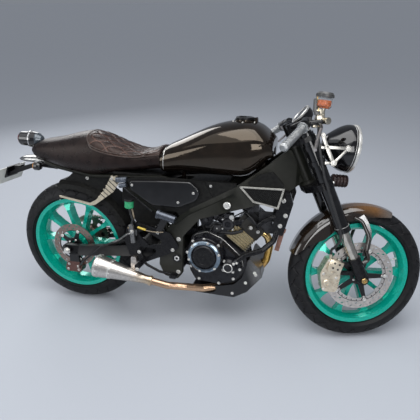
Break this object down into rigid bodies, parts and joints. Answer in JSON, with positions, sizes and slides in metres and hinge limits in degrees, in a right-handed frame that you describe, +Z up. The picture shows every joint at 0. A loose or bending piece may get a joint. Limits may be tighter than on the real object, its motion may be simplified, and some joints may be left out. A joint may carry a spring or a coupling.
{
  "type": "cafe racer motorcycle",
  "caption": "Motorcycle leaning on its side stand, with turning wheels, steering, a folding stand and a hinged fuel cap.",
  "frame": {"origin": "on the floor, under the middle of the parked motorcycle's bounding box", "axes": "+X forward along the machine, +Y to the rider's left, +Z up from the floor"},
  "size_m": [2.0047, 0.659, 1.0842],
  "materials": {
    "box_plastic": "matte",
    "belly_plastic": "satin",
    "canister_alloy": "satin",
    "chain_steel": "oiled",
    "clutch_alloy": "satin",
    "case_alloy": "satin",
    "cylinder_alloy": "cast",
    "footrest_alloy": "satin",
    "frame_paint": "satin",
    "gloss_black": "gloss",
    "generator_alloy": "satin",
    "header_steel": "heat tinted",
    "matte_cover": "matte",
    "stay_steel": "satin",
    "muffler_steel": "satin",
    "plate_white": "satin",
    "bracket_steel": "satin",
    "radiator_alloy": "satin",
    "rear_brake_alloy": "satin",
    "guard_plastic": "matte",
    "signal_black": "satin",
    "cowl_black": "gloss",
    "seat_leather": "soft sheen",
    "damper_steel": "satin",
    "shroud_plastic": "matte",
    "panel_black": "gloss",
    "arm_paint": "satin",
    "stop_lens": "clear gloss",
    "hose_rubber": "satin",
    "reservoir_clear": "clear",
    "control_black": "satin",
    "casting_black": "satin",
    "fork_black": "gloss",
    "calliper_gold": "anodised",
    "fender_black": "gloss",
    "grip_alloy": "knurled",
    "bar_black": "satin",
    "headlight_black": "gloss",
    "bracket_polished": "polished",
    "horn_black": "satin",
    "meter_black": "gloss",
    "stanchion_chrome": "polished",
    "clamp_alloy": "satin",
    "front_disc_steel": "ground",
    "front_rim_green": "metallic",
    "front_tyre_rubber": "matte",
    "rear_disc_steel": "ground",
    "rear_rim_green": "metallic",
    "sprocket_steel": "ground",
    "rear_tyre_rubber": "matte",
    "stand_paint": "satin",
    "cap_black": "satin"
  },
  "bodies": {
    "frame": {"airbox": "box_plastic", "belly_guard": "belly_plastic", "canister": "canister_alloy", "chain": "chain_steel", "clutch_cover": "clutch_alloy", "crankcase": "case_alloy", "cylinder": "cylinder_alloy", "footrests": "footrest_alloy", "frame": "frame_paint", "fuel_tank": "gloss_black", "generator_cover": "generator_alloy", "header_pipe": "header_steel", "mid_covers": "matte_cover", "mudguard_stay": "stay_steel", "muffler": "muffler_steel", "number_plate": "plate_white", "plate_bracket": "bracket_steel", "radiator": "radiator_alloy", "rear_brake": "rear_brake_alloy", "rear_mudguard": "guard_plastic", "rear_signals": "signal_black", "seat_cowl": "cowl_black", "seat_cushion": "seat_leather", "shock": "damper_steel", "shrouds": "shroud_plastic", "side_panels": "panel_black", "swinging_arm": "arm_paint", "tail_lamp": "stop_lens"},
    "steering": {"brake_hose": "hose_rubber", "brake_reservoir": "reservoir_clear", "controls": "control_black", "fork_castings": "casting_black", "fork_tubes": "fork_black", "front_calliper": "calliper_gold", "front_fender": "fender_black", "grips": "grip_alloy", "handlebar": "bar_black", "headlight": "headlight_black", "headlight_bracket": "bracket_polished", "horn": "horn_black", "meter": "meter_black", "stanchions": "stanchion_chrome", "triple_clamps": "clamp_alloy"},
    "front_wheel": {"front_disc": "front_disc_steel", "front_rim": "front_rim_green", "front_tyre": "front_tyre_rubber"},
    "rear_wheel": {"rear_disc": "rear_disc_steel", "rear_rim": "rear_rim_green", "rear_sprocket": "sprocket_steel", "rear_tyre": "rear_tyre_rubber"},
    "side_stand": {"side_stand": "stand_paint"},
    "fuel_cap": {"fuel_cap": "cap_black"}
  },
  "joints": [
    {"name": "steering", "type": "hinge", "parent": "frame", "child": "steering", "pos_m": [0.46186, -0.01559, 0.71429], "axis": [-0.4285, 0.1147, 0.8963], "range_deg": [-50.5, 15.5]},
    {"name": "front_wheel", "type": "hinge", "parent": "steering", "child": "front_wheel", "pos_m": [0.7133, -0.05505, 0.29229], "axis": [-0.272, 0.9295, -0.249], "continuous": true},
    {"name": "rear_wheel", "type": "hinge", "parent": "frame", "child": "rear_wheel", "pos_m": [-0.61967, -0.06833, 0.30506], "axis": [-0.0003, 0.9919, -0.1271], "continuous": true},
    {"name": "side_stand", "type": "hinge", "parent": "frame", "child": "side_stand", "pos_m": [-0.06796, 0.03461, 0.1787], "axis": [0.1152, 0.7925, 0.5989], "range_deg": [0, 113.99]},
    {"name": "fuel_cap", "type": "hinge", "parent": "frame", "child": "fuel_cap", "pos_m": [0.2428, 0.0136, 0.94266], "axis": [-0.0003, 0.9919, -0.1271], "range_deg": [0, 95]}
  ]
}
